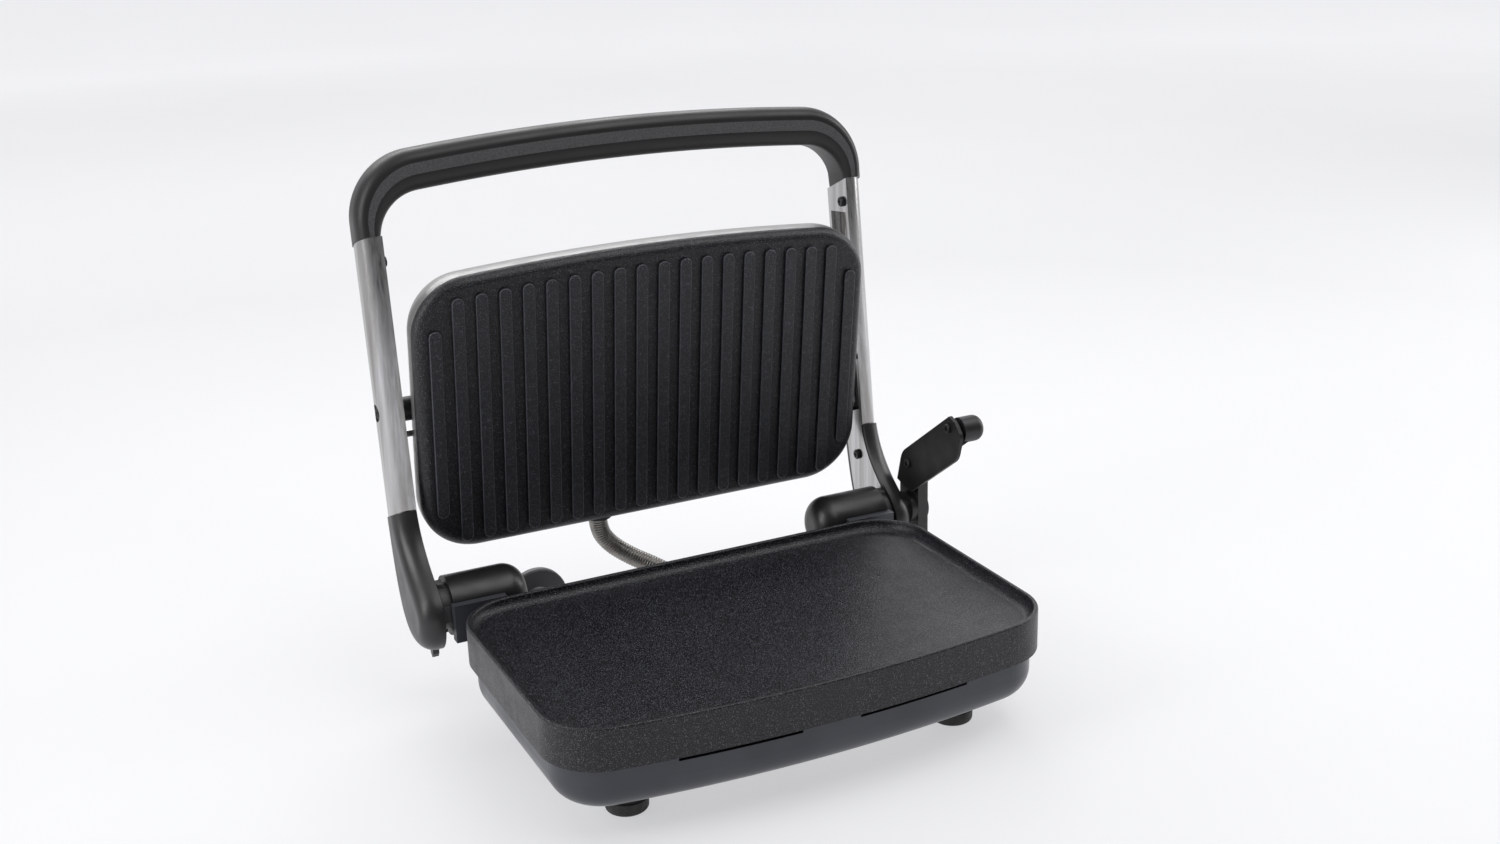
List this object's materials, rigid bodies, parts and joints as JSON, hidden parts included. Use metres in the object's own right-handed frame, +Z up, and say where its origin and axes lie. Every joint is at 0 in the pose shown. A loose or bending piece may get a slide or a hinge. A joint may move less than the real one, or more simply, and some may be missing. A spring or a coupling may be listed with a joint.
{
  "type": "panini press",
  "caption": "Open electric contact grill: a ribbed lid tilts between metal arms under a wide U-shaped grip, over a flat tray-shaped lower plate on a shallow base with rubber feet.",
  "frame": {"origin": "centre of the flat embossed disc in the base pan's underside, under the middle of the lower plate, on the plane of symmetry", "axes": "+X to the right of a person in front of the press, +Y to the back, +Z up"},
  "size_m": [0.3665, 0.2979, 0.3401],
  "materials": {
    "grill_coating": "satin non-stick coating with a fine fleck",
    "rib_coating": "satin non-stick coating with a fine fleck",
    "base_enamel": "satin dark metallic enamel",
    "pan_steel": "plain zinc-plated sheet",
    "foot_rubber": "matte",
    "bright_steel": "turned",
    "dark_screws": "blackened",
    "element_steel": "heat-darkened",
    "reflector_aluminium": "bright rolled",
    "thermostat_steel": "plain",
    "terminal_plastic": "moulded",
    "black_plastic": "moulded, fine texture",
    "barrel_black": "satin moulded",
    "spring_steel": "oiled wire",
    "collar_grey": "moulded",
    "conduit_steel": "wound strip, satin",
    "arm_aluminium": "polished casting",
    "cover_plastic": "satin moulded",
    "grip_plastic": "satin, finely textured front",
    "lid_silver": "satin silver",
    "lamp_red": "clear moulded",
    "lamp_green": "clear moulded",
    "lever_black": "flat moulded",
    "lever_casting": "satin",
    "knob_grey": "satin moulded"
  },
  "bodies": {
    "base": {"base_housing": "base_enamel", "base_pan": "pan_steel", "foot_front_left": "foot_rubber", "foot_front_right": "foot_rubber", "foot_rear_left": "foot_rubber", "foot_rear_right": "foot_rubber", "pan_screws": "bright_steel", "lower_plate": "grill_coating", "lower_element": "element_steel", "lower_reflector": "reflector_aluminium", "lower_thermostat": "thermostat_steel", "terminal_block": "terminal_plastic", "conduit_gland_lower": "black_plastic", "mains_inlet": "black_plastic", "lead_bobbin": "black_plastic", "hinge_barrel_left": "barrel_black", "hinge_barrel_right": "barrel_black", "hinge_spring_left": "spring_steel", "hinge_spring_right": "spring_steel", "hinge_axle_left": "bright_steel", "hinge_axle_right": "bright_steel", "hinge_collar_left": "collar_grey", "hinge_collar_right": "collar_grey", "conduit_lower": "conduit_steel"},
    "arms": {"arm_left": "arm_aluminium", "arm_right": "arm_aluminium", "arm_cover_left": "cover_plastic", "arm_cover_right": "cover_plastic", "arm_screws_left": "dark_screws", "arm_screws_right": "dark_screws", "grip": "grip_plastic", "pivot_pin_left": "bright_steel", "pivot_pin_right": "bright_steel"},
    "lid": {"upper_plate": "rib_coating", "lid_cover": "lid_silver", "upper_element": "element_steel", "upper_reflector": "reflector_aluminium", "upper_thermostat": "thermostat_steel", "pivot_bracket_left": "pan_steel", "pivot_bracket_right": "pan_steel", "pivot_sleeve_left": "black_plastic", "pivot_sleeve_right": "black_plastic", "tilt_stop_left": "bright_steel", "tilt_stop_right": "bright_steel", "power_lamp": "lamp_red", "ready_lamp": "lamp_green", "conduit_gland_upper": "black_plastic", "conduit_upper": "conduit_steel"},
    "lever": {"lever_plate": "lever_black", "lever_body": "lever_casting", "lever_knob": "knob_grey", "lever_screws": "dark_screws"}
  },
  "joints": [
    {"name": "arm_hinge", "type": "hinge", "parent": "base", "child": "arms", "pos_m": [0, 0.1137, 0.0517], "axis": [1, 0, 0], "range_deg": [0, 94.8], "deforming": ["conduit_lower"]},
    {"name": "lid_tilt", "type": "hinge", "parent": "arms", "child": "lid", "pos_m": [0, 0.16126, 0.16507], "axis": [1, 0, 0], "range_deg": [-12.3, 0], "deforming": ["conduit_upper"]},
    {"name": "lever_turn", "type": "hinge", "parent": "base", "child": "lever", "pos_m": [0, 0.1137, 0.0517], "axis": [1, 0, 0], "range_deg": [-60, 30]}
  ],
  "couplings": [
    {"joint": "lid_tilt", "follows": "arm_hinge", "ratio": -0.1291}
  ]
}
